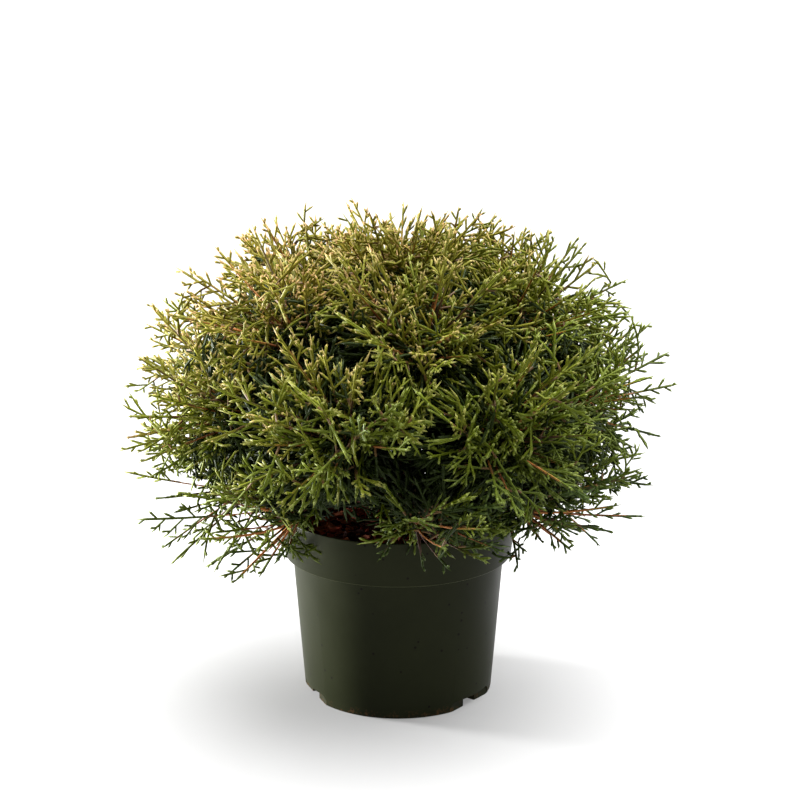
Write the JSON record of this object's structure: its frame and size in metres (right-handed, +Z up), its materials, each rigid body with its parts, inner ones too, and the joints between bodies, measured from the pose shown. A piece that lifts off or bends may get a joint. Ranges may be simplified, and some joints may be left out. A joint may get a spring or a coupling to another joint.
{
  "type": "potted eastern arborvitae",
  "caption": "Round thread-leaved evergreen shrub in a plastic nursery pot: a short trunk in bark mulch, arching boughs and dense sprays of fine green foliage.",
  "frame": {"origin": "middle of the pot's flat underside, on the ground", "axes": "+Z up through the pot's axis, -Y towards the viewer of the picture, +X to the viewer's right"},
  "size_m": [0.4352, 0.4402, 0.3963],
  "materials": {
    "pot_plastic": "dark olive green, semi-matt",
    "bark_mulch": "damp red-brown bark chips",
    "bark": "thin stringy red-brown bark",
    "foliage": "fresh green threads of scale leaves, satin"
  },
  "bodies": {
    "root": {"pot": "pot_plastic", "soil": "bark_mulch", "trunk": "bark", "bough_lower_1": "bark", "bough_lower_2": "bark", "bough_lower_3": "bark", "bough_lower_4": "bark", "bough_lower_5": "bark", "bough_lower_6": "bark", "bough_lower_7": "bark", "bough_middle_1": "bark", "bough_middle_2": "bark", "bough_middle_3": "bark", "bough_middle_4": "bark", "bough_middle_5": "bark", "bough_middle_6": "bark", "bough_middle_7": "bark", "bough_upper_1": "bark", "bough_upper_2": "bark", "bough_upper_3": "bark", "bough_upper_4": "bark", "bough_upper_5": "bark", "foliage_lower_1": "foliage", "foliage_lower_2": "foliage", "foliage_lower_3": "foliage", "foliage_lower_4": "foliage", "foliage_lower_5": "foliage", "foliage_lower_6": "foliage", "foliage_lower_7": "foliage", "foliage_middle_1": "foliage", "foliage_middle_2": "foliage", "foliage_middle_3": "foliage", "foliage_middle_4": "foliage", "foliage_middle_5": "foliage", "foliage_middle_6": "foliage", "foliage_middle_7": "foliage", "foliage_upper_1": "foliage", "foliage_upper_2": "foliage", "foliage_upper_3": "foliage", "foliage_upper_4": "foliage", "foliage_upper_5": "foliage", "foliage_top": "foliage"}
  },
  "joints": []
}
